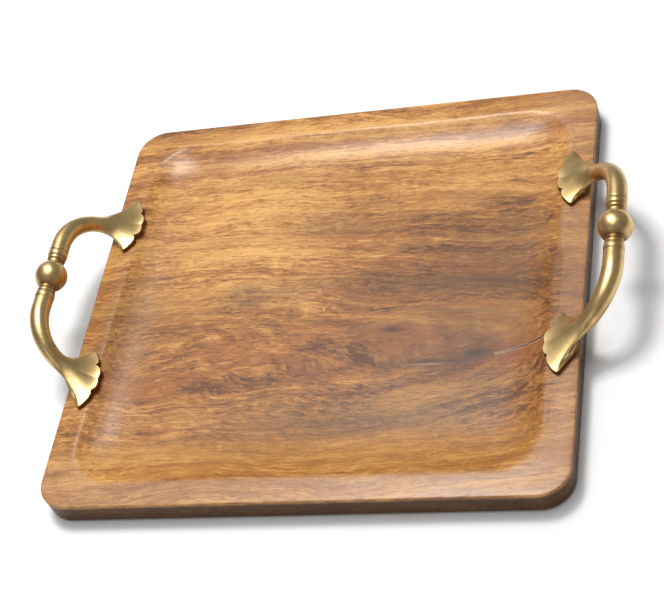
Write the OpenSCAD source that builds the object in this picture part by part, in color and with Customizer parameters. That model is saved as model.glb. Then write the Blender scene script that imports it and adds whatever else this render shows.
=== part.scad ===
// Carved wooden serving tray with two cast brass bail handles.
// Millimetres, +Z up. Origin: centre of the rectangle round the whole tray, on the floor plane.

/* [Board] */
// Length of the board along X, without the handles
board_w = 355; // [250:1:500]
// Width of the board along Y
board_d = 335; // [230:1:480]
// Thickness of the board
board_t = 17.5; // [12:0.5:30]
// Radius of the board's four corners in plan
corner_r = 21; // [8:0.5:60]
// Where the glue joint between the two planks lies on Y
joint_y = 20; // [-60:1:60]

/* [Recess] */
// Flat rim left round the dished recess
rim_w = 18.5; // [12:0.5:40]
// Depth of the recess below the rim
recess_depth = 9; // [4:0.5:12]
// Plan radius of the recess corners at the rim
recess_r = 30; // [26:1:60]
// How far the sloping wall of the recess runs in
cove_w = 25; // [8:1:26]

/* [Handles] */
// Diameter of the bent bar
bar_d = 12.2; // [8:0.1:16]
// Diameter of the bead in the middle of each handle
bead_d = 22.8; // [16:0.1:30]
// Half of the straight middle length of a handle
half_span = 28; // [22:0.1:45]
// Bend radius of each arm
bend_r = 36; // [26:0.5:50]
// Angle of the left handle above the rim
left_lift = 52.5; // [30:0.5:75]
// Angle of the right handle above the rim
right_lift = 42.5; // [30:0.5:75]
// How far inside the board's end the arms come down
root_inset = 3.2; // [0:0.1:12]
// Height of the arm's root above the rim
root_h = 4.6; // [3:0.1:8]
// Shift of the left handle towards the back
left_shift = 2; // [-15:0.5:15]
// Shift of the right handle towards the back
right_shift = 11; // [-15:0.5:15]

/* [Feet] */
// Thickness of a foot at its scalloped edge
foot_t = 3; // [2:0.1:4]
// Distance of the foot's middle from the board's end
foot_inset = 13.6; // [10:0.1:20]
// Distance of the foot's middle from the handle's middle
foot_off = 69; // [60:0.5:80]
// Diameter of the rounded boss over the screw
dome_d = 19; // [14:0.5:24]
// Rise of the boss above the foot
dome_h = 3; // [1:0.1:5]

/* [Fixings] */
// Diameter of the machine screws
screw_d = 4; // [3:0.5:5]
// How far the screws reach up into the feet
bore_up = 4.6; // [3:0.1:5.5]
// Clearance round the screws in the board
screw_play = 0.5; // [0.2:0.1:1]
// Diameter of the counterbores under the board
counterbore_d = 11; // [9:0.5:14]
// Depth of the counterbores
counterbore_h = 6; // [4:0.5:9]
// Thickness of the washers
washer_t = 0.9; // [0.5:0.1:1.5]
// Diameter of the washers
washer_d = 10; // [8:0.5:12]
// Diameter of the screw heads
head_d = 8; // [6:0.5:10]
// Height of the screw heads
head_h = 2.6; // [2:0.1:4]

/* [Pads] */
// Diameter of the felt pads
pad_d = 16; // [10:1:24]
// Thickness of the felt pads
pad_t = 1.5; // [1:0.1:3]
// Distance of a pad's middle from the two nearest sides
pad_inset = 30; // [16:1:60]

/* [Hidden] */
$fn = 64;
eps = 0.01;
rim_z = pad_t + board_t;
floor_z = rim_z - recess_depth;
sides = ["left", "right"];
arms = ["rear", "front"];
stud_d = 4;
stud_len = 33;
neck_at = bead_d / 2 + 0.05;
collar_end = 24;
root_run = 9;
root_flare = 6;
cove_steps = 6;
dome_steps = 8;
cross_len = 6;
cross_w = 1;
cross_deep = 1.1;
// Which piece to show, or all of them

function side_sign(s) = s == "left" ? -1 : 1;
function arm_sign(a) = a == "rear" ? 1 : -1;
function shift_of(s) = s == "left" ? left_shift : right_shift;
function lift_of(s) = s == "left" ? left_lift : right_lift;
function bead_x(s) = side_sign(s) * (board_w / 2 - root_inset + bend_r * cos(lift_of(s)));
function bead_z(s) = rim_z + root_h + bend_r * sin(lift_of(s));
function foot_x(s) = side_sign(s) * (board_w / 2 - foot_inset);
function foot_y(s, a) = shift_of(s) + arm_sign(a) * foot_off;

// Rectangle with round corners, centred.
module round_rect(w, d, r) {
    square([w - 2 * r, d], center = true);
    square([w, d - 2 * r], center = true);
    for (x = [-1, 1]) for (y = [-1, 1])
        translate([x * (w / 2 - r), y * (d / 2 - r)])
            circle(r);
}

// The outer shape of the board.
module slab() {
    translate([0, 0, pad_t])
        linear_extrude(board_t)
            round_rect(board_w, board_d, corner_r);
}

// One corner of the recess: a shallow bowl whose wall eases into the flat floor.
module corner_bowl() {
    rotate_extrude($fn = 48)
        polygon([
            [0, 0],
            [recess_r - cove_w, 0],
            for (i = [1:cove_steps]) [
                recess_r - cove_w + cove_w * i / cove_steps,
                recess_depth * pow(i / cove_steps, 1.5)
            ],
            [recess_r + 1, recess_depth + 1],
            [0, recess_depth + 1]
        ]);
}

// The dished space cut out of the board.
module recess() {
    x = board_w / 2 - rim_w - recess_r;
    y = board_d / 2 - rim_w - recess_r;
    translate([0, 0, floor_z])
        hull()
            for (sx = [-1, 1]) for (sy = [-1, 1])
                translate([sx * x, sy * y, 0])
                    corner_bowl();
}

// A clearance hole with its counterbore for every handle screw.
module screw_holes() {
    for (s = sides) for (a = arms)
        translate([foot_x(s), foot_y(s, a), 0]) {
            translate([0, 0, -eps])
                cylinder(d = screw_d + screw_play, h = rim_z + 1);
            translate([0, 0, -eps])
                cylinder(d = counterbore_d, h = pad_t + counterbore_h);
        }
}

// One plank of the board: the part of it between two Y positions.
module plank(y0, y1) {
    color("#b98b5c")
        difference() {
            slab();
            recess();
            screw_holes();
            translate([-board_w, y1, 0])
                cube([2 * board_w, board_d, rim_z + 5]);
            translate([-board_w, y0 - board_d, 0])
                cube([2 * board_w, board_d, rim_z + 5]);
        }
}

module board_rear() {
    plank(joint_y, board_d);
}

module board_front() {
    plank(-board_d, joint_y);
}

// Half of a foot's outline, as distances [in from the board's end, out from the foot's middle]:
// from the middle of the lobed inner side, round the pointed tip, to the side facing the arm.
half_foot = [
    [22.9, 0], [23.6, 3], [23.3, 6], [21.6, 8.8], [19.2, 10.6], [20.4, 12.6],
    [20.1, 15.2], [17.4, 19.6], [13.2, 24], [9, 18.5], [5.5, 13.5], [2.6, 9.5], [1.5, 5]
];

// Outline of a foot with scalloped inner side and two pointed tips, its middle at the origin.
module foot_outline() {
    n = len(half_foot);
    polygon([
        for (i = [0:n - 1]) [foot_inset - half_foot[i][0], half_foot[i][1]],
        for (i = [n - 1:-1:1]) [foot_inset - half_foot[i][0], -half_foot[i][1]]
    ]);
}

// The rings turned on the end of an arm, along +X from the bead.
module collar_rings() {
    r = bar_d / 2;
    rotate([0, 90, 0])
        rotate_extrude()
            polygon([
                [0, neck_at - 3],
                [0.74 * r, neck_at - 3],
                [0.82 * r, neck_at - 1],
                [0.9 * r, neck_at + 0.8],
                [0.83 * r, neck_at + 1.4],
                [0.93 * r, neck_at + 2.2],
                [0.96 * r, neck_at + 3.6],
                [0.9 * r, neck_at + 4.4],
                [r, neck_at + 5.3],
                [1.03 * r, neck_at + 7],
                [r, neck_at + 8.8],
                [0.95 * r, neck_at + 9.6],
                [r, neck_at + 10.4],
                [r, collar_end],
                [0, collar_end]
            ]);
}

// The rounded boss in the middle of a foot, over the screw.
module dome() {
    rotate_extrude()
        polygon([
            [0, 0],
            for (i = [0:dome_steps]) [
                dome_d / 2 * cos(i * 90 / dome_steps),
                foot_t - 0.4 + dome_h * sin(i * 90 / dome_steps)
            ]
        ]);
}

// The bent bar in its own plane: from the bead out along +X and down through a quarter turn.
module bent_bar() {
    difference() {
        union() {
            collar_rings();
            translate([collar_end - 0.5, 0, 0])
                rotate([0, 90, 0])
                    cylinder(d = bar_d, h = half_span - collar_end + 0.5);
            translate([half_span, -bend_r, 0]) {
                rotate_extrude(angle = 90)
                    translate([bend_r, 0])
                        circle(d = bar_d, $fn = 32);
                translate([bend_r, -root_run, 0])
                    rotate([-90, 0, 0])
                        cylinder(d1 = bar_d + root_flare, d2 = bar_d, h = root_run);
            }
        }
        sphere(d = bead_d + 0.1);
        rotate([0, 90, 0])
            cylinder(d = stud_d + 0.1, h = stud_len / 2 + 0.2);
    }
}

// One arm of a handle: foot, dome over the screw, bent bar and turned collar in one casting.
module arm(s, a) {
    color("#c49a55")
        difference() {
            union() {
                translate([foot_x(s), foot_y(s, a), rim_z])
                    mirror([s == "left" ? 1 : 0, 0, 0])
                        linear_extrude(foot_t)
                            foot_outline();
                translate([foot_x(s), foot_y(s, a), rim_z])
                    dome();
                translate([side_sign(s) * (board_w / 2 - root_inset), shift_of(s), rim_z + root_h])
                    mirror([s == "left" ? 1 : 0, 0, 0])
                        mirror([0, a == "front" ? 1 : 0, 0])
                            rotate([0, -lift_of(s), 0])
                                translate([bend_r, 0, 0])
                                    mirror([1, 0, 0])
                                        rotate([0, 0, 90])
                                            bent_bar();
            }
            translate([foot_x(s), foot_y(s, a), rim_z - eps])
                cylinder(d = screw_d + 0.1, h = bore_up);
            translate([-board_w, -board_d, rim_z - 20])
                cube([2 * board_w, 2 * board_d, 20]);
        }
}

// The round bead between the two arms of a handle, bored for the stud.
module bead(s) {
    color("#cda25c")
        translate([bead_x(s), shift_of(s), bead_z(s)])
            difference() {
                sphere(d = bead_d);
                rotate([90, 0, 0])
                    cylinder(d = stud_d + 0.1, h = bead_d + 2, center = true);
            }
}

// The threaded stud that holds bead and arms together.
module stud(s) {
    color("#8a8a8a")
        translate([bead_x(s), shift_of(s), bead_z(s)])
            rotate([90, 0, 0])
                cylinder(d = stud_d, h = stud_len, center = true);
}

// Pan-head machine screw up through the board into a foot.
module screw(s, a) {
    z0 = pad_t + counterbore_h - washer_t;
    color("#9a9a9a")
        translate([foot_x(s), foot_y(s, a), 0])
            difference() {
                union() {
                    translate([0, 0, z0 - head_h])
                        cylinder(d = head_d, h = head_h);
                    translate([0, 0, z0 - 0.1])
                        cylinder(d = screw_d, h = rim_z + bore_up - 0.3 - z0);
                }
                for (turn = [0, 90])
                    rotate([0, 0, turn])
                        translate([-cross_len / 2, -cross_w / 2, z0 - head_h - 1])
                            cube([cross_len, cross_w, cross_deep + 1]);
            }
}

module washer(s, a) {
    color("#b0b0b0")
        translate([foot_x(s), foot_y(s, a), pad_t + counterbore_h - washer_t])
            difference() {
                cylinder(d = washer_d, h = washer_t);
                translate([0, 0, -1])
                    cylinder(d = screw_d + 0.3, h = washer_t + 2);
            }
}

// Felt pad under a corner of the board.
module pad(s, a) {
    color("#3b332c")
        translate([
            side_sign(s) * (board_w / 2 - pad_inset),
            arm_sign(a) * (board_d / 2 - pad_inset),
            0
        ])
            cylinder(d = pad_d, h = pad_t);
}

board_rear();
board_front();
for (s = sides) {
    bead(s);
    stud(s);
    for (a = arms) {
        arm(s, a);
        screw(s, a);
        washer(s, a);
        pad(s, a);
    }
}
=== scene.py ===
"""Looks of a carved wooden serving tray with two cast brass bail handles.

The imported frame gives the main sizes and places. Lengths are in metres unless they say mm.
"""

import math

import bmesh
import bpy
import numpy as np
from bpy.props import FloatProperty, FloatVectorProperty, PointerProperty
from mathutils import Euler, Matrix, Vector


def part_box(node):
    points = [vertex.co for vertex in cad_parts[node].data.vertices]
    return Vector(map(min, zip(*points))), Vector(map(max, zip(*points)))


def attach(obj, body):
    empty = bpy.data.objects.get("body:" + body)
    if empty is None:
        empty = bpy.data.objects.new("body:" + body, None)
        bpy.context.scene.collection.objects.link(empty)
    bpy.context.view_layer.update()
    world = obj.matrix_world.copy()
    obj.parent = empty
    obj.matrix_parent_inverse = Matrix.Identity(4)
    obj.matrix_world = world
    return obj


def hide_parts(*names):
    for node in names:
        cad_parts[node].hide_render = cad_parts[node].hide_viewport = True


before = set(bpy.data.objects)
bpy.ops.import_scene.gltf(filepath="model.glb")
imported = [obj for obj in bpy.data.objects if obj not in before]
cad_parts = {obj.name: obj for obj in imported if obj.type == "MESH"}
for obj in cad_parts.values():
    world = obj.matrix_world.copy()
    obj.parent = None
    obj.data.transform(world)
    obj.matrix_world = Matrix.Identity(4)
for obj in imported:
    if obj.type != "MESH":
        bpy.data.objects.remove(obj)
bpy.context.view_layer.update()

bl_info = {
    "name": "Carved serving tray",
    "version": (1, 0, 0),
    "blender": (4, 5, 0),
    "location": "View3D > Sidebar > Tray",
    "description": "Builds the boards, brass handles, fixings, pads and stage of a serving tray",
    "category": "Object",
}

MM = 0.001
SIDES = {"left": -1, "right": 1}
ARMS = {"rear": 1, "front": -1}


def box_of(node):
    """Lowest and highest corner of a frame node, as arrays."""
    low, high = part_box(node)
    return np.array(low), np.array(high)


def middle_of(node):
    """Middle of a frame node's box."""
    low, high = box_of(node)
    return (low + high) / 2


REAR_LOW, REAR_HIGH = box_of("board_rear")
HALF_W = REAR_HIGH[0]
HALF_D = REAR_HIGH[1]
JOINT_Y = REAR_LOW[1]
UNDER_Z = REAR_LOW[2]
RIM_Z = REAR_HIGH[2]


class TraySettings(bpy.types.PropertyGroup):
    """Sizes and colours of the tray that a user may change."""

    rim_width: FloatProperty(
        name="Rim width", description="Nearly flat rim left round the recess",
        default=18.5 * MM, unit="LENGTH",
    )
    recess_depth: FloatProperty(
        name="Recess depth", description="Depth of the recess floor below the rim",
        default=9 * MM, unit="LENGTH",
    )
    cove_width: FloatProperty(
        name="Cove width", description="How far the sloping wall of the recess runs in",
        default=45 * MM, unit="LENGTH",
    )
    corner_radius: FloatProperty(
        name="Corner radius", description="Plan radius of the board's corners",
        default=21 * MM, unit="LENGTH",
    )
    recess_radius: FloatProperty(
        name="Recess corner radius", description="Plan radius of the recess corners at the rim",
        default=30 * MM, unit="LENGTH",
    )
    edge_radius: FloatProperty(
        name="Edge radius", description="Softened radius of the board's outer edges",
        default=0.9 * MM, unit="LENGTH",
    )
    bar_radius: FloatProperty(
        name="Bar radius", description="Radius of a handle's bent bar at its thickest",
        default=6.7 * MM, unit="LENGTH",
    )
    bar_radius_end: FloatProperty(
        name="Bar end radius", description="Radius of the bent bar just before it spreads into its foot",
        default=5.7 * MM, unit="LENGTH",
    )
    wood_dark: FloatVectorProperty(
        name="Dark wood", description="Colour of the dark growth bands",
        default=(0.110, 0.040, 0.014), subtype="COLOR", size=3,
    )
    wood_mid: FloatVectorProperty(
        name="Middle wood", description="Colour of most of the wood",
        default=(0.415, 0.168, 0.040), subtype="COLOR", size=3,
    )
    wood_light: FloatVectorProperty(
        name="Light wood", description="Colour of the pale golden bands",
        default=(0.720, 0.390, 0.118), subtype="COLOR", size=3,
    )
    # Polished brass also stands for the painted light on brass that faces up.
    brass_light: FloatVectorProperty(
        name="Polished brass", description="Colour of the rubbed high places of the castings",
        default=(0.73, 0.52, 0.235), subtype="COLOR", size=3,
    )
    # Aged brass is also the colour of the painted shade on the brass.
    brass_dark: FloatVectorProperty(
        name="Aged brass", description="Colour of the toned brass in the grooves",
        default=(0.19, 0.092, 0.026), subtype="COLOR", size=3,
    )


# ---------------------------------------------------------------- meshes


def grid_faces(rows, cols, closed=False):
    """Quads joining a grid of rows by cols points; closed joins the last column to the first."""
    last = cols if closed else cols - 1
    r, c = np.meshgrid(np.arange(rows - 1), np.arange(last), indexing="ij")
    a = r * cols + c
    b = r * cols + (c + 1) % cols
    return np.stack([a, b, b + cols, a + cols], axis=-1).reshape(-1, 4)


def used_only(points, faces):
    """Drops the points that no face uses and renumbers the faces. Also gives the kept points' numbers."""
    flat = np.concatenate([np.asarray(f).ravel() for f in faces])
    keep = np.unique(flat)
    renumber = np.full(len(points), -1)
    renumber[keep] = np.arange(len(keep))
    return points[keep], [renumber[np.asarray(f)] for f in faces], keep


def make_piece(name, points, faces, material, nodes, sharp=38, values=None):
    """Makes a closed mesh piece that rides on the tray and stands for its frame nodes."""
    points, faces, keep = used_only(points, faces)
    mesh = bpy.data.meshes.new(name)
    rows = [row for block in faces for row in np.atleast_2d(block).tolist()]
    mesh.from_pydata(points.tolist(), [], rows)
    for key, data in (values or {}).items():
        layer = mesh.attributes.new(key, "FLOAT", "POINT")
        layer.data.foreach_set("value", np.asarray(data, dtype=np.float32)[keep])
    work = bmesh.new()
    work.from_mesh(mesh)
    bmesh.ops.recalc_face_normals(work, faces=work.faces)
    work.to_mesh(mesh)
    work.free()
    mesh.shade_smooth()
    mesh.set_sharp_from_angle(angle=math.radians(sharp))
    mesh.materials.append(material)
    piece = bpy.data.objects.new(name, mesh)
    bpy.context.scene.collection.objects.link(piece)
    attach(piece, "root")
    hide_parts(*nodes)
    return piece


def turned(profile, count):
    """Points of a turned shape round +Z: each [radius, height] of the profile swept through count steps."""
    angle = np.arange(count) * 2 * np.pi / count
    radius = profile[:, 0][:, None]
    height = np.repeat(profile[:, 1][:, None], count, axis=1)
    return np.stack([radius * np.cos(angle), radius * np.sin(angle), height], axis=-1)


def smooth_step(value, low, high):
    """Zero below low, one above high and a smooth cubic between."""
    t = np.clip((value - low) / (high - low), 0, 1)
    return t * t * (3 - 2 * t)


# ---------------------------------------------------------------- materials


class Graph:
    """Short helpers that add nodes to one material."""

    def __init__(self, name):
        self.material = bpy.data.materials.new(name)
        self.material.use_nodes = True
        self.tree = self.material.node_tree
        self.tree.nodes.clear()
        self.shader = self.add("ShaderNodeBsdfPrincipled")
        output = self.add("ShaderNodeOutputMaterial")
        self.tree.links.new(self.shader.outputs[0], output.inputs["Surface"])
        self.place = self.add("ShaderNodeTexCoord").outputs["Object"]

    def add(self, kind, **settings):
        """Adds a node and sets its plain properties."""
        node = self.tree.nodes.new(kind)
        for key, value in settings.items():
            setattr(node, key, value)
        return node

    def put(self, socket, value):
        """Links an output to a socket, or writes a value into it."""
        if isinstance(value, bpy.types.NodeSocket):
            self.tree.links.new(value, socket)
        else:
            socket.default_value = value

    def math(self, operation, a, b=0.0, c=0.0, clamp=False):
        """One Math node."""
        node = self.add("ShaderNodeMath", operation=operation, use_clamp=clamp)
        for socket, value in zip(node.inputs, (a, b, c)):
            self.put(socket, value)
        return node.outputs[0]

    def stretch(self, vector, scale, offset=(0, 0, 0)):
        """Scales and shifts coordinates."""
        node = self.add("ShaderNodeMapping")
        self.put(node.inputs["Vector"], vector)
        node.inputs["Scale"].default_value = scale
        node.inputs["Location"].default_value = offset
        return node.outputs[0]

    def noise(self, vector, detail=2.0, rough=0.5, distort=0.0, scale=1.0):
        """Three-dimensional noise, from zero to one."""
        node = self.add("ShaderNodeTexNoise")
        self.put(node.inputs["Vector"], vector)
        node.inputs["Scale"].default_value = scale
        node.inputs["Detail"].default_value = detail
        node.inputs["Roughness"].default_value = rough
        node.inputs["Distortion"].default_value = distort
        return node.outputs["Fac"]

    def line_noise(self, value, scale, detail=2.0, rough=0.5):
        """Noise along one number, from zero to one."""
        node = self.add("ShaderNodeTexNoise", noise_dimensions="1D")
        self.put(node.inputs["W"], value)
        node.inputs["Scale"].default_value = scale
        node.inputs["Detail"].default_value = detail
        node.inputs["Roughness"].default_value = rough
        return node.outputs["Fac"]

    def spread(self, value, low, high, to_low=0.0, to_high=1.0):
        """Maps low..high to to_low..to_high, clamped."""
        node = self.add("ShaderNodeMapRange", interpolation_type="SMOOTHSTEP")
        for socket, number in zip(node.inputs, (value, low, high, to_low, to_high)):
            self.put(socket, number)
        return node.outputs[0]

    def mix(self, factor, a, b, blend="MIX"):
        """Mixes two colours."""
        node = self.add("ShaderNodeMix", data_type="RGBA", blend_type=blend)
        self.put(node.inputs[0], factor)
        for socket, value in zip((node.inputs[6], node.inputs[7]), (a, b)):
            self.put(socket, (*value, 1) if isinstance(value, (tuple, list)) and len(value) == 3 else value)
        return node.outputs[2]

    def ramp(self, factor, stops):
        """Colour ramp through (position, colour) stops."""
        node = self.add("ShaderNodeValToRGB")
        ramp = node.color_ramp
        while len(ramp.elements) < len(stops):
            ramp.elements.new(0.5)
        for element, (position, colour) in zip(ramp.elements, stops):
            element.position = position
            element.color = (*colour, 1)
        self.put(node.inputs[0], factor)
        return node.outputs[0]

    def axes(self, vector):
        """The three numbers of a vector."""
        node = self.add("ShaderNodeSeparateXYZ")
        self.put(node.inputs[0], vector)
        return node.outputs[0], node.outputs[1], node.outputs[2]

    def join(self, x, y, z):
        """A vector from three numbers."""
        node = self.add("ShaderNodeCombineXYZ")
        for socket, value in zip(node.inputs, (x, y, z)):
            self.put(socket, value)
        return node.outputs[0]

    def bump(self, height, distance, strength=1.0):
        """Bump from a height."""
        node = self.add("ShaderNodeBump")
        self.put(node.inputs["Height"], height)
        node.inputs["Distance"].default_value = distance
        node.inputs["Strength"].default_value = strength
        return node.outputs[0]

    def bell(self, x, y, centre, size):
        """A smooth spot: one at centre, a tenth at one and a half sizes out, next to nothing at two."""
        dx = self.math("MULTIPLY", self.math("SUBTRACT", x, centre[0]), 1 / size[0])
        dy = self.math("MULTIPLY", self.math("SUBTRACT", y, centre[1]), 1 / size[1])
        square = self.math("ADD", self.math("MULTIPLY", dx, dx), self.math("MULTIPLY", dy, dy))
        return self.math("EXPONENT", self.math("MULTIPLY", square, -1.0))

    def patches(self, x, y, places):
        """Sum of smooth spots, each given as (centre, size, strength)."""
        total = 0.0
        for centre, size, strength in places:
            total = self.math("ADD", total, self.math("MULTIPLY", self.bell(x, y, centre, size), strength))
        return total

    def off_middle(self, value, share):
        """How far a noise is from its middle, times a share."""
        return self.math("MULTIPLY", self.math("SUBTRACT", value, 0.5), share)

    def attribute(self, name):
        """One of the mesh's own numbers."""
        return self.add("ShaderNodeAttribute", attribute_name=name).outputs["Fac"]


# Where the board's figure lies in plan: (centre, size, strength) of soft patches.
GOLD_PATCHES = (
    ((0.020, -0.128), (0.160, 0.020), -0.10),
    ((-0.075, 0.055), (0.090, 0.060), 0.44),
    ((0.020, 0.130), (0.150, 0.035), 0.24),
)
SHADY_PATCHES = (
    ((0.100, -0.010), (0.085, 0.070), 0.35),
    ((0.000, -0.060), (0.150, 0.045), 0.08),
)
SMOKY_STREAKS = (
    ((0.062, 0.002), (0.110, 0.012), 1.00),
    ((-0.062, -0.006), (0.022, 0.010), 1.00),
    ((0.020, -0.095), (0.090, 0.010), 0.80),
    ((-0.045, 0.105), (0.060, 0.007), 0.40),
    ((-0.010, 0.062), (0.045, 0.014), 0.65),
    ((0.120, 0.030), (0.050, 0.036), 0.85),
    ((-0.150, -0.010), (0.022, 0.060), 0.70),
    ((0.095, -0.047), (0.050, 0.017), 0.85),
)
DARK_MARKS = (
    ((0.048, -0.031), (0.009, 0.0026), 0.90),
    ((0.108, -0.054), (0.012, 0.0040), 0.90),
    ((0.080, -0.060), (0.026, 0.0034), 0.90),
)
# Painted highlight: a thin pale glint among the dark marks by the knot.
KNOT_GLINT = (((0.076, -0.0612), (0.013, 0.0010), 0.70),)
AMBER_FRONT = (((0.020, -0.128), (0.200, 0.022), 0.55),)
RED_HEART = ((0.075, -0.030), (0.085, 0.034))
RED_BY_CRACK = (((0.125, -0.057), (0.030, 0.010), 0.80),)
WOOD_TINTS = {
    "russet": (0.330, 0.108, 0.026),
    "honey": (0.540, 0.270, 0.070),
    "amber": (0.410, 0.180, 0.030),
    "red heart": (0.270, 0.072, 0.018),
    "smoke": (0.120, 0.054, 0.022),
    "dark mark": (0.050, 0.022, 0.014),
    # Painted highlight: pale colour of the glint by the knot.
    "painted knot glint": (0.400, 0.240, 0.120),
    # Painted highlight: pale glint on the crack's lips.
    "crack glint": (0.460, 0.340, 0.240),
    "crack": (0.012, 0.006, 0.003),
    # Painted sheen: pale greyish brown over the front and right rim.
    "painted rim sheen": (0.400, 0.235, 0.150),
    # Painted shade: near-black brown mixed over the cut sides and underside.
    "painted side shade": (0.034, 0.012, 0.004),
}
KNOT, KNOT_SIZE = (0.070, -0.046), (0.060, 0.026)
HEART_Y, HEART_Z, HEART_TILT = -0.045, -0.034, 0.10
# The crack's line by a point on it and its slope, where it opens, and where the painted glint on its lips
# begins.
CRACK_POINT, CRACK_SLOPE = (0.1226, -0.0555), 0.23
CRACK_OPENS, GLINT_BEGINS = 0.116, 0.120
CRACK_HALF_WIDTH = 0.00055


def wood_grain(g, x, y, z, ring_shift):
    """The wood's noises by name. All but the cloud are pushed aside by slow waves and by the knot.

    The growth bands are noise along the distance from a heart line that runs along X, tilted, below
    the board. Also gives y after the push.
    """
    slow = g.noise(g.stretch(g.place, (4, 9, 9), (3.1, 1.7, 0.4)), 2, 0.5)
    drift = g.noise(g.stretch(g.place, (14, 60, 50), (7.7, 2.2, 5.0)), 3, 0.55)
    push = g.bell(x, y, KNOT, KNOT_SIZE)
    shove = g.math("MULTIPLY", g.math("MULTIPLY", push, g.math("SUBTRACT", y, KNOT[1])), -0.75)
    across = g.math(
        "ADD",
        g.math("ADD", y, g.off_middle(slow, 0.055)),
        g.math("ADD", g.off_middle(drift, 0.011), shove),
    )

    heart_y = g.math("SUBTRACT", across, HEART_Y)
    heart_z = g.math("ADD", g.math("MULTIPLY", x, HEART_TILT), g.math("SUBTRACT", z, HEART_Z))
    square = g.math("ADD", g.math("MULTIPLY", heart_y, heart_y), g.math("MULTIPLY", heart_z, heart_z))
    ring = g.math("ADD", g.math("SQRT", square), ring_shift)

    warped = g.join(x, across, z)
    grain = {
        "bands": g.line_noise(ring, 75, 3.0, 0.60),
        "fine_bands": g.line_noise(ring, 480, 3.0, 0.65),
        "streaks": g.noise(g.stretch(warped, (11, 210, 150), (2.2, 5.1, 3.3)), 4, 0.62),
        "ripple": g.noise(g.stretch(warped, (140, 500, 360), (1.3, 0.2, 0.9)), 3, 0.62, 1.2),
        "mottle": g.noise(g.stretch(warped, (46, 90, 80), (4.3, 8.2, 2.9)), 4, 0.60, 0.6),
        "fibre": g.noise(g.stretch(warped, (80, 820, 600)), 3, 0.66),
        "pores": g.noise(g.stretch(warped, (170, 1150, 800), (0.5, 0.1, 0.7)), 1, 0.5),
        "cloud": g.noise(g.stretch(g.place, (7, 14, 14), (9.2, 4.4, 6.1)), 3, 0.55),
        "hue": g.noise(g.stretch(warped, (8, 42, 42), (5.2, 6.8, 1.1)), 3, 0.6),
    }
    return grain, across


def wood_crack(g, x, y):
    """A fine crack that runs right and slightly back and widens on its way, and a painted glint on its
    lips.
    """
    run = g.math("SUBTRACT", x, CRACK_POINT[0])
    wander = g.off_middle(g.line_noise(x, 160, 3, 0.6), 0.0035)
    crack_y = g.math("ADD", g.math("MULTIPLY", run, CRACK_SLOPE), g.math("ADD", wander, CRACK_POINT[1]))
    gap = g.math("ABSOLUTE", g.math("SUBTRACT", y, crack_y))
    width = g.spread(x, 0.115, 0.150, 0.0, CRACK_HALF_WIDTH)
    crack = g.math("MULTIPLY", g.math("LESS_THAN", gap, width), g.math("GREATER_THAN", x, CRACK_OPENS))
    # Painted highlight: the lips beside the crack are mixed paler as a glint, from a little past where it
    # opens.
    glint_share = g.spread(gap, 0.0006, 0.0014, 0.55, 0.0)
    glint = g.math("MULTIPLY", glint_share, g.math("GREATER_THAN", x, GLINT_BEGINS))
    return crack, glint


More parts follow.
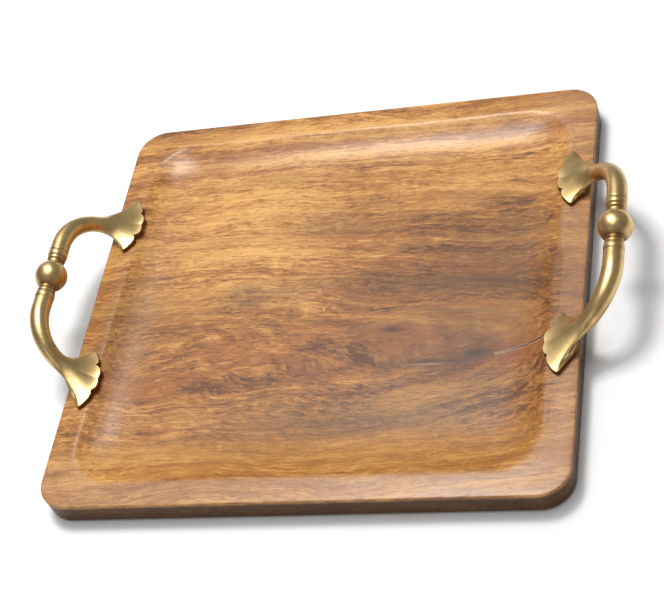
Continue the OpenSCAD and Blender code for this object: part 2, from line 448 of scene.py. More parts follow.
def wood_material(name, settings, plank_tone, ring_shift):
    """Lacquered hardwood: growth bands round a tilted heart line, short rippled fibres, dark smoky
    streaks round a knot, pores and a fine crack, with painted glints on the crack's lips and by the knot.
    The mesh attribute "side" darkens the cut sides and underside as painted shade, and "rim" marks
    where a painted sheen makes the rim paler towards the front and the right."""
    g = Graph(name)
    x, y, z = g.axes(g.place)
    grain, across = wood_grain(g, x, y, z, ring_shift)
    streaks, ripple, mottle = grain["streaks"], grain["ripple"], grain["mottle"]
    pore_mask = g.spread(grain["pores"], 0.62, 0.74)

    lift = g.math("SUBTRACT", g.patches(x, y, GOLD_PATCHES), g.patches(x, y, SHADY_PATCHES))
    tone = g.math("ADD", 0.47 + plank_tone, lift)
    shares = {
        "bands": 1.00, "fine_bands": 0.55, "streaks": 0.85, "ripple": 1.20, "mottle": 0.85,
        "fibre": 1.10, "cloud": 0.95,
    }
    for part, share in shares.items():
        tone = g.math("ADD", tone, g.off_middle(grain[part], share))
    tone = g.math("SUBTRACT", tone, g.math("MULTIPLY", pore_mask, 0.20))

    dark, mid, light = (tuple(getattr(settings, key)) for key in ("wood_dark", "wood_mid", "wood_light"))
    between = tuple((a + b) / 2 for a, b in zip(mid, light))
    low = tuple(0.45 * a + 0.55 * b for a, b in zip(dark, mid))
    colour = g.ramp(tone, [(0.0, dark), (0.26, low), (0.49, mid), (0.70, between), (0.95, light)])

    red = g.math("MULTIPLY", g.bell(x, y, *RED_HEART), g.spread(streaks, 0.35, 0.65))
    red = g.math("ADD", red, g.patches(x, y, RED_BY_CRACK), clamp=True)
    smoke = g.math(
        "MULTIPLY",
        g.patches(x, across, SMOKY_STREAKS),
        g.spread(g.math("ADD", mottle, streaks), 0.75, 1.15),
        clamp=True,
    )
    smoke = g.math("MULTIPLY", smoke, g.spread(ripple, 0.25, 0.6, 1.0, 0.72))
    crack, glint = wood_crack(g, x, y)
    # Painted sheen: the flat of the rim is mixed paler towards the front and the right.
    toward = g.math("MAXIMUM", g.spread(y, -0.11, -0.155), g.spread(x, 0.12, 0.16))
    rubbed = g.math("MULTIPLY", g.math("MULTIPLY", g.attribute("rim"), toward), 0.34)
    # Painted shade: "side" is one on the cut sides and underside, which are darkened as if in shade.
    side = g.attribute("side")

    washes = {
        "russet": g.spread(grain["hue"], 0.50, 0.70, 0.0, 0.45),
        "honey": g.spread(grain["hue"], 0.50, 0.32, 0.0, 0.40),
        "amber": g.patches(x, y, AMBER_FRONT),
        "red heart": g.math("MULTIPLY", red, 0.70),
        "smoke": smoke,
        "dark mark": g.math("MINIMUM", g.patches(x, y, DARK_MARKS), 1.0),
        # Painted highlight by the knot.
        "painted knot glint": g.patches(x, y, KNOT_GLINT),
        # Painted highlight along the crack's lips.
        "crack glint": glint,
        "crack": crack,
        # Painted sheen on the front and right rim.
        "painted rim sheen": rubbed,
        # Painted shade over the cut sides and underside.
        "painted side shade": g.math("MULTIPLY", side, 0.86),
    }
    for tint, strength in washes.items():
        colour = g.mix(strength, colour, WOOD_TINTS[tint])

    g.put(g.shader.inputs["Base Color"], colour)
    rough = g.math("ADD", g.spread(mottle, 0.3, 0.7, 0.36, 0.48), g.math("MULTIPLY", pore_mask, 0.12))
    g.put(g.shader.inputs["Roughness"], rough)
    g.shader.inputs["Specular IOR Level"].default_value = 0.2
    lacquer = g.math("MULTIPLY", g.math("SUBTRACT", 1.0, side), 0.33)
    g.put(g.shader.inputs["Coat Weight"], lacquer)
    g.shader.inputs["Coat Roughness"].default_value = 0.27
    relief = g.math("ADD", g.math("MULTIPLY", grain["fibre"], 0.35), g.math("MULTIPLY", ripple, 0.5))
    relief = g.math("SUBTRACT", relief, g.math("MULTIPLY", pore_mask, 0.5))
    relief = g.math("SUBTRACT", relief, g.math("MULTIPLY", crack, 3.0))
    g.put(g.shader.inputs["Normal"], g.bump(relief, 0.00018, 0.8))
    return g.material


def brass_material(settings):
    """Antique cast brass: lighter where it faces up and darker where it faces down, as painted light and
    shade, with brown patina in the grooves and painted shade at the feet's edges and the beads' ends.
    """
    g = Graph("antique_brass")
    # Patina in the collars' grooves, and painted shade on the feet's edges and underside and at the beads'
    # ends.
    patinated_and_shaded = g.attribute("patinated_and_shaded")
    cloud = g.noise(g.stretch(g.place, (70, 70, 70)), 4, 0.6)
    speck = g.noise(g.stretch(g.place, (420, 420, 420)), 3, 0.6)
    age_and_shade = g.math("ADD", g.spread(cloud, 0.38, 0.72, 0.0, 0.42), g.spread(speck, 0.5, 0.8, 0.0, 0.22))
    # Painted shade and light: darker where the brass faces down, lighter where it faces up.
    facing = g.axes(g.add("ShaderNodeNewGeometry").outputs["Normal"])[2]
    age_and_shade = g.math("ADD", age_and_shade, g.spread(facing, 0.35, -0.55, 0.0, 0.35))
    age_and_shade = g.math("ADD", age_and_shade, g.math("MULTIPLY", patinated_and_shaded, 0.9), clamp=True)
    colour = g.mix(age_and_shade, tuple(settings.brass_light), tuple(settings.brass_dark))
    g.put(g.shader.inputs["Base Color"], colour)
    g.shader.inputs["Metallic"].default_value = 1.0
    g.put(g.shader.inputs["Roughness"], g.spread(age_and_shade, 0.0, 1.0, 0.31, 0.50))
    cast = g.noise(g.stretch(g.place, (260, 260, 260)), 4, 0.65)
    g.put(g.shader.inputs["Normal"], g.bump(cast, 0.00012, 0.7))
    return g.material


def steel_material():
    """Zinc-plated steel with fine level brushing, which runs round an upright screw."""
    g = Graph("plated_steel")
    brushed = g.noise(g.stretch(g.place, (300, 300, 2500)), 3, 0.6)
    g.put(g.shader.inputs["Base Color"], g.mix(brushed, (0.42, 0.42, 0.43), (0.68, 0.68, 0.67)))
    g.shader.inputs["Metallic"].default_value = 1.0
    g.put(g.shader.inputs["Roughness"], g.spread(brushed, 0.2, 0.8, 0.25, 0.45))
    return g.material


def felt_material():
    """Dark brown felt: matted fibres with a soft edge sheen."""
    g = Graph("brown_felt")
    fuzz = g.noise(g.stretch(g.place, (1400, 1400, 1400)), 4, 0.7, 1.5)
    lint = g.noise(g.stretch(g.place, (300, 300, 300)), 3, 0.6)
    shade = g.math("ADD", g.math("MULTIPLY", fuzz, 0.7), g.math("MULTIPLY", lint, 0.3))
    g.put(g.shader.inputs["Base Color"], g.mix(shade, (0.018, 0.013, 0.010), (0.12, 0.095, 0.075)))
    g.shader.inputs["Roughness"].default_value = 0.95
    g.shader.inputs["Sheen Weight"].default_value = 0.5
    g.put(g.shader.inputs["Normal"], g.bump(fuzz, 0.0003, 1.0))
    return g.material


def floor_material():
    """Plain pale studio floor."""
    g = Graph("pale_floor")
    mottle = g.noise(g.stretch(g.place, (3, 3, 3)), 2, 0.5)
    g.put(g.shader.inputs["Base Color"], g.mix(mottle, (0.90, 0.90, 0.90), (0.93, 0.93, 0.925)))
    g.shader.inputs["Roughness"].default_value = 0.9
    return g.material


# ---------------------------------------------------------------- boards

# A square block of even cells lies round each screw hole, and the hole is let into it.
HOLE_BLOCK = 7 * MM
HOLE_CELLS = 12
COUNTERBORE_RADIUS = 5.5 * MM
COUNTERBORE_DEPTH = 6 * MM
HOLE_CHAMFER = 0.3 * MM
SCREW_HOLE_RADIUS = 2.25 * MM
WOOD_OVER_HOLE = 1.5 * MM

# Rows of points on the underside's middle, round each outer edge, up the cut side, over the flat
# of the rim, down the wall of the recess and over its floor.
UNDER_ROWS, EDGE_ROWS, SIDE_ROWS, RIM_ROWS, WALL_ROWS, FLOOR_ROWS = 6, 7, 4, 8, 36, 26
CORNER_STEPS = 20
LONG_SIDE_STEPS = 77
STEP_LENGTH = 4.5 * MM
OUTER_UNDER_INSET = 4.5 * MM
WALL_LEAD = 2.2 * MM
HALF_SHORT_LINE = 20 * MM

SOFT_ARRIS = 1.7 * MM
CROWN_DROP, CROWN_WIDTH = 0.5 * MM, 15 * MM
HAND_WANDER, HAND_DEPTH = 0.55 * MM, 0.10 * MM
# The rim is a little wider at the front right and narrower at the rear right than on the left.
RIGHT_RIM_GAIN = {"rear": -1.2 * MM, "front": 2.3 * MM}


def drop_below_rim(inset, settings):
    """Depth of the carved surface below the rim at a distance in from the board's side.

    The wall follows depth x (1 - s cubed) with s from 1 at the rim to 0 at the floor. The arris
    between rim and wall is rounded by a parabola. The outer part of the rim falls away towards the
    side by a power of 1.5.
    """
    s = 1 - np.clip((inset - settings.rim_width) / settings.cove_width, 0, 1)
    wall = settings.recess_depth * (1 - s**3)
    meet = settings.recess_depth * (1 - (1 - SOFT_ARRIS / settings.cove_width) ** 3)
    near = np.clip((inset - settings.rim_width + SOFT_ARRIS) / (2 * SOFT_ARRIS), 0, 1)
    crown = CROWN_DROP * np.clip(1 - inset / CROWN_WIDTH, 0, 1) ** 1.5
    return np.where(inset < settings.rim_width + SOFT_ARRIS, meet * near * near, wall) + crown


def hand_work(x, y):
    """Slow unevenness of hand finishing, about -1 to 1, from slanted sine waves."""
    a = np.sin(x * 61 + y * 23 + 0.7) * np.sin(y * 47 - x * 11 + 1.9)
    b = np.sin(x * 118 - y * 71 + 2.3)
    c = np.sin(x * 35 + y * 97 + 4.1)
    return 0.5 * a + 0.2 * b + 0.3 * c


def straight_steps(length, hole_at, step):
    """Distances along a straight side, with a fine even stretch round the hole's place. Also gives
    how many come before that stretch."""
    low, high = hole_at - HOLE_BLOCK, hole_at + HOLE_BLOCK
    before = np.linspace(0, low, max(2, int(low / step)), endpoint=False)
    fine = np.linspace(low, high, HOLE_CELLS, endpoint=False)
    after = np.linspace(high, length, max(2, int((length - high) / step)))
    return np.concatenate([before, fine, after]), len(before)


def plank_rows(settings, hole_inset):
    """The half-loops of a plank in order: each one's distance in from the side, its height before
    carving, how far it has shrunk to the short line in the middle, and whether it is an upper one."""
    edge = settings.edge_radius
    block = np.linspace(hole_inset + HOLE_BLOCK, hole_inset - HOLE_BLOCK, HOLE_CELLS + 1)
    quarter = np.linspace(0, np.pi / 2, EDGE_ROWS)
    wall = np.linspace(
        settings.rim_width - WALL_LEAD, settings.rim_width + settings.cove_width, WALL_ROWS
    )
    under_rows = UNDER_ROWS + len(block) + 1
    inset = np.concatenate([
        np.full(UNDER_ROWS, block[0]),
        block,
        [OUTER_UNDER_INSET],
        edge * (1 - np.sin(quarter)),
        np.zeros(SIDE_ROWS),
        edge * (1 - np.cos(quarter)),
        np.linspace(edge, wall[0], RIM_ROWS + 2)[1:-1],
        wall,
        np.full(FLOOR_ROWS, wall[-1]),
    ])
    height = np.concatenate([
        np.full(under_rows, UNDER_Z),
        UNDER_Z + edge * (1 - np.cos(quarter)),
        np.linspace(UNDER_Z + edge, RIM_Z - edge, SIDE_ROWS + 2)[1:-1],
        RIM_Z - edge + edge * np.sin(quarter),
        np.full(RIM_ROWS + WALL_ROWS + FLOOR_ROWS, RIM_Z),
    ])
    shrink = np.concatenate([
        np.linspace(1, 0, UNDER_ROWS + 1)[:-1],
        np.zeros(len(inset) - UNDER_ROWS - FLOOR_ROWS),
        np.linspace(0, 1, FLOOR_ROWS + 1)[1:],
    ])
    upper = np.arange(len(inset)) >= under_rows + EDGE_ROWS + SIDE_ROWS
    return inset, height, shrink, upper


def plank_plan(settings, rows, joint, left, right):
    """Plan of every half-loop as x and y, y mirrored for the front plank. The upper loops' corners
    change from the board's radius to the recess's; the others stay a true offset of the side."""
    inset, _, shrink, upper = rows
    outer, edge = settings.corner_radius, settings.edge_radius
    innermost = max(settings.recess_radius - settings.cove_width, 3 * MM)
    carved = np.interp(
        inset,
        [0, edge, settings.rim_width, settings.rim_width + settings.cove_width],
        [outer, outer - edge, settings.recess_radius, innermost],
    )
    radius = np.where(upper, carved, np.maximum(outer - inset, 0.3 * MM))
    reach = HALF_D - outer - joint
    turn = np.linspace(0, np.pi / 2, CORNER_STEPS + 1)[1:]
    rear = np.linspace(0, 1, LONG_SIDE_STEPS + 1)[1:]

    d, r = inset[:, None], radius[:, None]
    yc, xc = HALF_D - d - r, HALF_W - d - r
    plan_x = np.concatenate([
        -(HALF_W - d) * np.ones((1, len(left))),
        -xc - r * np.cos(turn),
        -xc + 2 * xc * rear,
        xc + r * np.sin(turn),
        (HALF_W - d) * np.ones((1, len(right) - 1)),
    ], axis=1)
    plan_y = np.concatenate([
        joint + (left / reach) * (yc - joint),
        yc + r * np.sin(turn),
        (HALF_D - d) * np.ones((1, len(rear))),
        yc + r * np.cos(turn),
        joint + (right[::-1][1:] / reach) * (yc - joint),
    ], axis=1)
    share = shrink[:, None]
    short = np.linspace(-HALF_SHORT_LINE, HALF_SHORT_LINE, plan_x.shape[1])[None, :] * np.ones_like(d)
    return plan_x * (1 - share) + short * share, plan_y * (1 - share) + joint * share


def build_plank(name, sign, material, settings):
    """One plank: nested half-loops of a rounded rectangle, from the middle of its underside out
    round its edge and back in over rim, wall and floor, closed by the flat face of the glue joint.

    Each loop runs from the joint line up one end of the tray, round both corners and back to the
    joint line. sign is 1 for the rear plank; the front plank is worked out mirrored in Y.
    """
    joint = sign * JOINT_Y
    arm_name = "rear" if sign > 0 else "front"
    edge = settings.edge_radius
    holes = {side: middle_of(f"screw_{side}_{arm_name}") for side in SIDES}
    reach = HALF_D - settings.corner_radius - joint
    left, left_start = straight_steps(reach, sign * holes["left"][1] - joint, STEP_LENGTH)
    right, right_start = straight_steps(reach, sign * holes["right"][1] - joint, STEP_LENGTH)
    loops = plank_rows(settings, HALF_W - abs(holes["left"][0]))
    inset, height, _, upper = loops
    plan_x, plan_y = plank_plan(settings, loops, joint, left, right)

    # Carving: the rim's width and the surface waver a little, as left by hand tools.
    true_y = sign * plan_y
    uneven = hand_work(plan_x, true_y)
    wider = RIGHT_RIM_GAIN[arm_name] * smooth_step(plan_x, 0.13, 0.155)
    wander = HAND_WANDER * uneven + wider
    past_edge = smooth_step(inset, 3 * MM, 12 * MM)[:, None]
    carve = drop_below_rim(inset[:, None] - wander * past_edge, settings)
    on_top = (upper & (height > RIM_Z - edge))[:, None]
    z = height[:, None] - np.where(on_top, carve + HAND_DEPTH * (1 + uneven) * past_edge, 0)
    points = np.stack([plan_x, true_y, z], axis=-1).reshape(-1, 3)
    # Painted shade: one on the cut sides and underside, nought on the carved top.
    painted_side_shade = np.where(upper, smooth_step(RIM_Z - height, 0.8 * MM, edge + 1.5 * MM), 1.0)
    painted_side_shade = np.repeat(painted_side_shade, plan_x.shape[1])
    # Painted sheen: one on the flat top of the rim, falling to nought at the recess's edge.
    edge_near = settings.rim_width - wander * past_edge - inset[:, None]
    painted_rim_sheen = np.where(on_top, smooth_step(edge_near, 0.0, 0.8 * MM), 0.0).ravel()

    # The cells of each hole's block give way to the hole.
    rows, cols = plan_x.shape
    faces = grid_faces(rows, cols)
    row_of, col_of = faces[:, 0] // cols, faces[:, 0] % cols
    in_rows = (row_of >= UNDER_ROWS) & (row_of < UNDER_ROWS + HOLE_CELLS)
    right_col = cols - 1 - right_start - HOLE_CELLS
    keep = np.ones(len(faces), bool)
    extra_points, extra_faces = [], []
    total = len(points)
    for side, first in (("left", left_start), ("right", right_col)):
        keep &= ~(in_rows & (col_of >= first) & (col_of < first + HOLE_CELLS))
        k = np.arange(HOLE_CELLS)
        around = np.concatenate([
            UNDER_ROWS * cols + first + k,
            (UNDER_ROWS + k) * cols + first + HOLE_CELLS,
            (UNDER_ROWS + HOLE_CELLS) * cols + first + HOLE_CELLS - k,
            (UNDER_ROWS + HOLE_CELLS - k) * cols + first,
        ])
        ring, ring_faces = screw_hole(points[around], holes[side], total, around)
        extra_points.append(ring)
        extra_faces += ring_faces
        total += len(ring)
    faces = faces[keep]

    start, end = np.arange(rows) * cols, np.arange(rows) * cols + cols - 1
    joint_face = np.concatenate([
        start, (rows - 1) * cols + np.arange(1, cols - 1), end[::-1], np.arange(cols - 2, 0, -1),
    ])
    points = np.concatenate([points, *extra_points])
    # The screw holes' points take full painted shade and no painted sheen.
    added = len(points) - len(painted_side_shade)
    painted_side_shade = np.concatenate([painted_side_shade, np.ones(added)])
    painted_rim_sheen = np.concatenate([painted_rim_sheen, np.zeros(added)])
    return make_piece(
        name, points, [faces, joint_face, *extra_faces], material,
        [f"board_{arm_name}"], values={"side": painted_side_shade, "rim": painted_rim_sheen},
    )


def screw_hole(block_points, centre, offset, around):
    """Counterbore and screw hole: rings of points at the block points' own angles, shrinking from the
    square block to the counterbore, up its wall, in to the screw hole and up to a blind end."""
    angle = np.arctan2(block_points[:, 1] - centre[1], block_points[:, 0] - centre[0])
    roof = UNDER_Z + COUNTERBORE_DEPTH
    profile = np.array([
        [COUNTERBORE_RADIUS + HOLE_CHAMFER, UNDER_Z],
        [COUNTERBORE_RADIUS, UNDER_Z + HOLE_CHAMFER],
        [COUNTERBORE_RADIUS, roof],
        [SCREW_HOLE_RADIUS, roof],
        [SCREW_HOLE_RADIUS, RIM_Z - WOOD_OVER_HOLE],
    ])
    count = len(around)
    ring_x = centre[0] + profile[:, 0][:, None] * np.cos(angle)
    ring_y = centre[1] + profile[:, 0][:, None] * np.sin(angle)
    ring_z = np.repeat(profile[:, 1][:, None], count, axis=1)
    ring = np.stack([ring_x, ring_y, ring_z], axis=-1).reshape(-1, 3)
    inner = grid_faces(len(profile), count, closed=True) + offset
    following = np.roll(np.arange(count), -1)
    joining = np.stack(
        [around, around[following], offset + following, offset + np.arange(count)], axis=-1
    )
    end = offset + (len(profile) - 1) * count + np.arange(count)
    return ring, [joining, inner, end]


# ---------------------------------------------------------------- handles

BEAD_LOW, BEAD_HIGH = box_of("bead_right")
BEAD_RADIUS = (BEAD_HIGH[2] - BEAD_LOW[2]) / 2
ROOT_INSET = 3.2 * MM
ROOT_HEIGHT = 4.6 * MM
HALF_SPAN = 28 * MM
FOOT_INSET = HALF_W - abs(middle_of("screw_right_rear")[0])
FOOT_ALONG = abs(middle_of("screw_right_rear")[1] - middle_of("bead_right")[1])
BORE_RADIUS = 2.05 * MM
BEAD_STEPS = 96

# The bar is straight from here to HALF_SPAN, and then bends as far as BEND_END.
STRAIGHT_START = 25.4 * MM
BEND_END = math.radians(66)

# The even skin curve's height over the rim, the rounding of a foot's edge, the most that the skin
# keeps to the bar's direction, and how deep the foot's underside is let into the wood.
SKIN_HEIGHT = 2.7 * MM
EDGE_ROUNDING = 0.7 * MM
LONGEST_LEAVE = 15 * MM
LET_IN = 0.8 * MM
# A foot's edge and underside: how far out each ring is and how far the first four have fallen, as
# shares of the rounding, and how much painted shade each ring has.
SKIRT_OUT = np.array([0.38, 0.71, 0.92, 1.0, 1.0, 1.0, -3.0])
SKIRT_FALL = np.array([0.08, 0.30, 0.62, 1.0])
SKIRT_SHADE = [0, 0.2, 0.5, 0.8, 1, 1, 1]

# The turned end of an arm: mm from the bead's middle, and the share of the bar's radius.
COLLAR = np.array([
    [8.0, 0.72], [9.0, 0.80], [10.5, 0.86], [12.0, 0.90], [12.5, 0.83], [13.0, 0.84], [13.6, 0.93],
    [15.0, 0.96], [15.7, 0.90], [16.1, 0.90], [16.7, 1.00], [18.5, 1.03], [20.2, 1.01], [20.8, 0.95],
    [21.2, 0.95], [21.8, 1.00], [23.0, 1.00], [24.9, 1.00],
])

# Half of a foot's outline from the middle of its lobed inner side, round the tip, to the arm's side:
# how far in from the board's end, and how far out from the foot's middle.
HALF_FOOT = np.array([
    [22.6, 0.0], [23.1, 1.7], [23.4, 4.2], [22.9, 6.9], [21.7, 8.9], [20.3, 10.1], [20.7, 11.9],
    [20.5, 14.2], [19.4, 17.0], [17.3, 20.2], [15.1, 22.5], [13.2, 23.5], [11.6, 22.1], [9.4, 18.4],
    [6.4, 14.0], [3.6, 10.2], [1.9, 6.0], [1.4, 0.0],
]) * MM

# The even curve that the foot's upper skin runs out to before its lobes are cut.
HALF_SKIN = np.array([
    [23.9, 0.0], [24.2, 4.0], [23.9, 8.0], [23.2, 12.0], [21.8, 16.5], [19.6, 20.4], [17.0, 23.4],
    [13.2, 25.2], [9.0, 21.0], [5.8, 16.0], [3.0, 11.0], [1.2, 6.0], [0.8, 0.0],
]) * MM


def through(points, per_span):
    """Smooth curve through points: Catmull-Rom cubics, per_span steps between neighbours."""
    before = np.concatenate([2 * points[:1] - points[1:2], points, 2 * points[-1:] - points[-2:-1]])
    t = np.linspace(0, 1, per_span, endpoint=False)[None, :, None]
    p0, p1, p2, p3 = (before[i:len(before) - 3 + i][:, None, :] for i in range(4))
    curve = 0.5 * (
        2 * p1 + (p2 - p0) * t + (2 * p0 - 5 * p1 + 4 * p2 - p3) * t**2
        + (3 * p1 - p0 - 3 * p2 + p3) * t**3
    )
    return np.concatenate([curve.reshape(-1, points.shape[1]), points[-1:]])


def foot_outline():
    """Closed outline of a foot as (in from the board's end, along the rim), with crisp cusps and tips."""
    cusp, tip = 5, 11
    half = np.concatenate([
        through(HALF_FOOT[:cusp + 1], 6)[:-1],
        through(HALF_FOOT[cusp:tip + 1], 6)[:-1],
        through(HALF_FOOT[tip:], 6),
    ])
    return np.concatenate([half, (half * [1, -1])[-2:0:-1]])


def skin_reach(angle):
    """Distance from the foot's middle to the even skin curve in each direction."""
    half = through(HALF_SKIN, 8)
    inward = half[:, 0] - FOOT_INSET
    turn = np.arctan2(half[:, 1], inward)
    return np.interp(np.abs(angle), turn, np.hypot(half[:, 1], inward))


def handle_plane(side):
    """Middle of the bends, direction from it to the bead's middle and radius of the bends, all worked
    out as for a right handle."""
    bead = middle_of(f"bead_{side}") * [SIDES[side], 0, 1]
    root = np.array([HALF_W - ROOT_INSET, 0, RIM_Z + ROOT_HEIGHT])
    bend_radius = np.linalg.norm(bead - root)
    return root, (bead - root) / bend_radius, bend_radius


def bar_rings(side, angle, settings):
    """The bar from its collar to the end of its bend, as for a right rear arm: rings of points, the
    rings' middles, the direction in which the bar ends, and how much groove patina each ring has."""
    root, slant, bend_radius = handle_plane(side)
    along = np.array([0.0, 1.0, 0.0])

    collar = through(COLLAR, 3)
    straight = np.linspace(STRAIGHT_START, HALF_SPAN, 3)[:-1]
    bend = np.linspace(0, BEND_END, 22)
    level = len(collar) + len(straight)
    out = np.concatenate([np.full(level, bend_radius), bend_radius * np.cos(bend)])
    far = np.concatenate([collar[:, 0] * MM, straight, HALF_SPAN + bend_radius * np.sin(bend)])
    heading = np.concatenate([np.zeros(level), bend])
    thick, thin = settings.bar_radius, settings.bar_radius_end
    radius = np.concatenate([
        collar[:, 1] * thick,
        np.full(len(straight), thick),
        thick + (thin - thick) * smooth_step(bend, 0.15, BEND_END),
    ])

    centre = root + out[:, None] * slant + far[:, None] * along
    ahead = np.cos(heading)[:, None] * along - np.sin(heading)[:, None] * slant
    sideways = np.cos(heading)[:, None] * slant + np.sin(heading)[:, None] * along
    normal = np.array([-slant[2], 0, slant[0]])
    # Round the bar, angle 0 is its upper inner side and 90 degrees points away from the bead.
    c, s = np.cos(angle)[None, :, None], np.sin(angle)[None, :, None]
    circle = c * normal + s * sideways[:, None, :]
    grooves = np.clip((1.0 - collar[:, 1]) * 4.5, 0, 1)
    patinated_and_shaded = np.concatenate([grooves, np.zeros(len(straight) + len(bend))])
    return centre[:, None, :] + radius[:, None, None] * circle, centre, ahead[-1], patinated_and_shaded


def foot_rings(bar_end, ahead, outline, angle):
    """The foot: a skin of Hermite cubics that spreads from the bar's end ring to an even curve and is
    cut off at the lobed outline, then the rounded edge and the underside, let into the wood."""
    inward = outline[:, 0] - FOOT_INSET
    foot = np.array([HALF_W - FOOT_INSET, FOOT_ALONG, RIM_Z + SKIN_HEIGHT])
    away = np.stack([-np.cos(angle), np.sin(angle), np.zeros(len(angle))], axis=-1)
    wide = foot + away * skin_reach(angle)[:, None]
    spread = np.linalg.norm(wide - bar_end, axis=1, keepdims=True)
    leave = ahead * np.minimum(LONGEST_LEAVE, 0.7 * spread)
    arrive = (away + [0, 0, -0.16]) * spread * 0.95

    def skin_at(t):
        """Points of the cubics at t from zero at the bar's end to one at the even curve."""
        return (
            (2 * t**3 - 3 * t**2 + 1) * bar_end + (t**3 - 2 * t**2 + t) * leave
            + (3 * t**2 - 2 * t**3) * wide + (t**3 - t**2) * arrive
        )

    fine = np.linspace(0.5, 1, 900)
    offset = skin_at(fine[:, None, None]) - foot
    reach = np.hypot(offset[..., 0], offset[..., 1])
    target = np.hypot(inward, outline[:, 1]) - EDGE_ROUNDING
    cut = fine[np.abs(reach - target).argmin(axis=0)]
    skin = skin_at(np.linspace(0, 1, 28)[1:, None, None] * cut[None, :, None])

    edge = skin[-1]
    skirt = edge[None] + away[None] * (SKIRT_OUT * EDGE_ROUNDING)[:, None, None]
    skirt[..., 2] = np.concatenate([
        edge[None, :, 2] - (SKIRT_FALL * EDGE_ROUNDING)[:, None],
        RIM_Z + (edge[:, 2] - RIM_Z) * 0.35 * np.ones((1, len(angle))),
        np.full((2, len(angle)), RIM_Z - LET_IN),
    ])
    return skin, skirt


def build_arm(side, arm, material, settings):
    """One arm: a small end face inside the bead, the turned collar, the bent bar and the lobed foot, all
    rings of the same number of points at the foot outline's own angles."""
    outline = foot_outline()
    angle = np.arctan2(outline[:, 1], outline[:, 0] - FOOT_INSET)
    count = len(angle)
    tube, centre, ahead, bar_toned = bar_rings(side, angle, settings)
    skin, skirt = foot_rings(tube[-1], ahead, outline, angle)
    start = tube[:1] * 0.35 + centre[:1, None, :] * 0.65
    rings = np.concatenate([start, tube, skin, skirt])
    # Patina in the collar's grooves; painted shade on the foot's edge and underside and on the end face
    # hidden in the bead.
    patinated_and_shaded = np.concatenate([[1.0], bar_toned, np.zeros(len(skin)), SKIRT_SHADE])
    patinated_and_shaded = np.repeat(patinated_and_shaded[:, None], count, axis=1).ravel()

    points = rings.reshape(-1, 3)
    points = points * [SIDES[side], ARMS[arm], 1] + [0, middle_of(f"bead_{side}")[1], 0]
    rows = len(rings)
    faces = grid_faces(rows, count, closed=True)
    caps = [np.arange(count), (rows - 1) * count + np.arange(count)]
    name = f"brass_arm_{side}_{arm}"
    return make_piece(
        name, points, [faces, *caps], material, [f"arm_{side}_{arm}"],
        sharp=50, values={"patinated_and_shaded": patinated_and_shaded},
    )


def build_bead(side, material):
    """The bead: a sphere bored through along the bar, with painted shade towards its ends."""
    start = math.asin(BORE_RADIUS / BEAD_RADIUS)
    polar = np.linspace(start, np.pi - start, 49)
    shell = np.stack([BEAD_RADIUS * np.sin(polar), BEAD_RADIUS * np.cos(polar)], axis=-1)
    bore = [[BORE_RADIUS, -BEAD_RADIUS * 0.5], [BORE_RADIUS, BEAD_RADIUS * 0.5]]
    profile = np.concatenate([shell, bore])
    ring = turned(profile, BEAD_STEPS)
    rows = len(profile)
    faces = grid_faces(rows, BEAD_STEPS, closed=True)
    first = np.arange(BEAD_STEPS)
    last = (rows - 1) * BEAD_STEPS + first
    closing = np.stack([last, np.roll(last, -1), np.roll(first, -1), first], axis=-1)
    points = ring.reshape(-1, 3)[:, [0, 2, 1]] + middle_of(f"bead_{side}")
    ends = np.abs(profile[:, 1]) / BEAD_RADIUS
    # Painted shade towards the bead's ends, next to the arms' collars.
    patinated_and_shaded = np.repeat(np.clip((ends - 0.62) * 3.2, 0, 1)[:, None], BEAD_STEPS, axis=1).ravel()
    return make_piece(
        f"brass_bead_{side}", points, [faces, closing], material, [f"bead_{side}"],
        values={"patinated_and_shaded": patinated_and_shaded},
    )


def build_pad(side, arm, material):
    """Felt pad: a low disc with softly rounded lower edge."""
    node = f"pad_{side}_{arm}"
    low, high = box_of(node)
    radius, thick = (high[0] - low[0]) / 2, high[2] - low[2]
    soft = 0.5 * MM
    bend = np.linspace(0, np.pi / 2, 7)
    lower = np.stack([radius - soft + soft * np.sin(bend), soft - soft * np.cos(bend)], axis=-1)
    profile = np.concatenate([[[radius * 0.5, 0]], lower, [[radius, thick]], [[radius * 0.5, thick]]])
    count, rows = 72, len(profile)
    ring = turned(profile, count)
    wobble = 1 + 0.006 * np.sin(np.arange(count) * 2 * np.pi * 11 / count)
    ring[..., :2] *= np.minimum(wobble, 1.0)[None, :, None]
    points = ring.reshape(-1, 3) + [(low[0] + high[0]) / 2, (low[1] + high[1]) / 2, low[2]]
    faces = grid_faces(rows, count, closed=True)
    caps = [np.arange(count), (rows - 1) * count + np.arange(count)]
    return make_piece(f"felt_{node}", points, [faces, *caps], material, [node])


# ---------------------------------------------------------------- operators


class TRAY_OT_boards(bpy.types.Operator):
    """Build the two carved planks of the board"""

    bl_idname = "tray.boards"
    bl_label = "Carved boards"

    def execute(self, context):
        settings = context.scene.tray_settings
        build_plank("plank_rear", 1, wood_material("rear_plank_wood", settings, -0.02, 0.0012), settings)
        build_plank("plank_front", -1, wood_material("front_plank_wood", settings, 0.0, 0.0), settings)
        return {"FINISHED"}


class TRAY_OT_handles(bpy.types.Operator):
    """Build the arms and beads of both brass handles"""

    bl_idname = "tray.handles"
    bl_label = "Brass handles"

    def execute(self, context):
        settings = context.scene.tray_settings
        brass = brass_material(settings)
        for side in SIDES:
            build_bead(side, brass)
            for arm in ARMS:
                build_arm(side, arm, brass, settings)
        return {"FINISHED"}


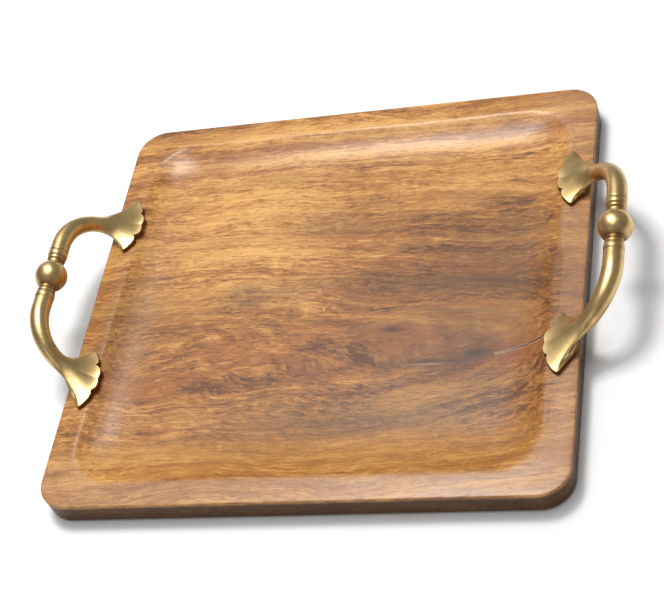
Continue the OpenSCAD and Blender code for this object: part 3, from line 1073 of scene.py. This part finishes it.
class TRAY_OT_fixings(bpy.types.Operator):
    """Give the studs, screws and washers their plated steel"""

    bl_idname = "tray.fixings"
    bl_label = "Screws, washers and studs"

    def execute(self, context):
        steel = steel_material()
        for node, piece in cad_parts.items():
            if node.startswith(("stud_", "screw_", "washer_")):
                piece.data.materials.clear()
                piece.data.materials.append(steel)
        return {"FINISHED"}


class TRAY_OT_pads(bpy.types.Operator):
    """Build the felt pads under the corners"""

    bl_idname = "tray.pads"
    bl_label = "Felt pads"

    def execute(self, context):
        felt = felt_material()
        for side in SIDES:
            for arm in ARMS:
                build_pad(side, arm, felt)
        return {"FINISHED"}


class TRAY_OT_stage(bpy.types.Operator):
    """Set up the pale floor, the soft lights and the camera"""

    bl_idname = "tray.stage"
    bl_label = "Floor, lights and camera"

    def execute(self, context):
        build_floor()
        build_lights()
        build_camera(context.scene)
        context.scene.view_settings.view_transform = "Standard"
        return {"FINISHED"}


def build_floor():
    """A flat pale floor much larger than the view."""
    half = 6.0
    mesh = bpy.data.meshes.new("studio_floor")
    corners = [(-half, -half, 0), (half, -half, 0), (half, half, 0), (-half, half, 0)]
    mesh.from_pydata(corners, [], [(0, 1, 2, 3)])
    mesh.materials.append(floor_material())
    floor = bpy.data.objects.new("studio_floor", mesh)
    bpy.context.scene.collection.objects.link(floor)


def soft_light(name, place, aim, size, power, colour=(1, 1, 1)):
    """A square soft box at place, turned to face aim."""
    data = bpy.data.lights.new(name, "AREA")
    data.size = size
    data.energy = power
    data.color = colour
    lamp = bpy.data.objects.new(name, data)
    lamp.location = place
    direction = np.array(aim) - np.array(place)
    yaw = math.atan2(direction[1], direction[0])
    tilt = math.atan2(math.hypot(direction[0], direction[1]), -direction[2])
    lamp.rotation_euler = Euler((tilt, 0, yaw - math.pi / 2))
    bpy.context.scene.collection.objects.link(lamp)


def build_lights():
    """A soft key high behind on the left, a broad overhead light, a large dim panel behind for the
    brass, a little front fill and a grey surround."""
    soft_light("key", (-0.34, 0.56, 1.79), (0, 0, 0), 0.50, 22)
    soft_light("top", (-0.2, 0.1, 2.2), (0, 0, 0), 1.6, 18)
    soft_light("back_panel", (-0.75, 1.15, 1.35), (0, 0, 0), 1.3, 4.2)
    soft_light("front_fill", (-0.5, -1.6, 0.9), (0, 0, 0.02), 1.0, 2)
    world = bpy.data.worlds.new("pale_surround")
    world.use_nodes = True
    world.node_tree.nodes["Background"].inputs["Color"].default_value = (1, 1, 1, 1)
    world.node_tree.nodes["Background"].inputs["Strength"].default_value = 0.27
    bpy.context.scene.world = world


def build_camera(scene):
    """A long lens looking down over the front right corner."""
    data = bpy.data.cameras.new("view")
    data.lens = 87.1
    data.clip_start = 0.05
    data.clip_end = 50
    camera = bpy.data.objects.new("view", data)
    camera.location = (0.3558, -0.6538, 0.8237)
    camera.rotation_euler = Euler([math.radians(a) for a in (39.07, 17.03, 8.90)])
    scene.collection.objects.link(camera)
    scene.camera = camera


class TRAY_PT_panel(bpy.types.Panel):
    """Lists the steps that build the tray"""

    bl_idname = "TRAY_PT_panel"
    bl_label = "Serving tray"
    bl_space_type = "VIEW_3D"
    bl_region_type = "UI"
    bl_category = "Tray"

    def draw(self, context):
        for step in STEPS:
            self.layout.operator(step.bl_idname)
        for key in TraySettings.__annotations__:
            self.layout.prop(context.scene.tray_settings, key)


STEPS = (TRAY_OT_boards, TRAY_OT_handles, TRAY_OT_fixings, TRAY_OT_pads, TRAY_OT_stage)
CLASSES = (TraySettings, *STEPS, TRAY_PT_panel)


def register():
    """Registers the classes and the settings."""
    for item in CLASSES:
        bpy.utils.register_class(item)
    bpy.types.Scene.tray_settings = PointerProperty(type=TraySettings)


def unregister():
    """Removes the settings and the classes."""
    del bpy.types.Scene.tray_settings
    for item in reversed(CLASSES):
        bpy.utils.unregister_class(item)


def main():
    """Builds every piece."""
    register()
    bpy.ops.tray.boards()
    bpy.ops.tray.handles()
    bpy.ops.tray.fixings()
    bpy.ops.tray.pads()
    bpy.ops.tray.stage()


if __name__ == "__main__":
    main()
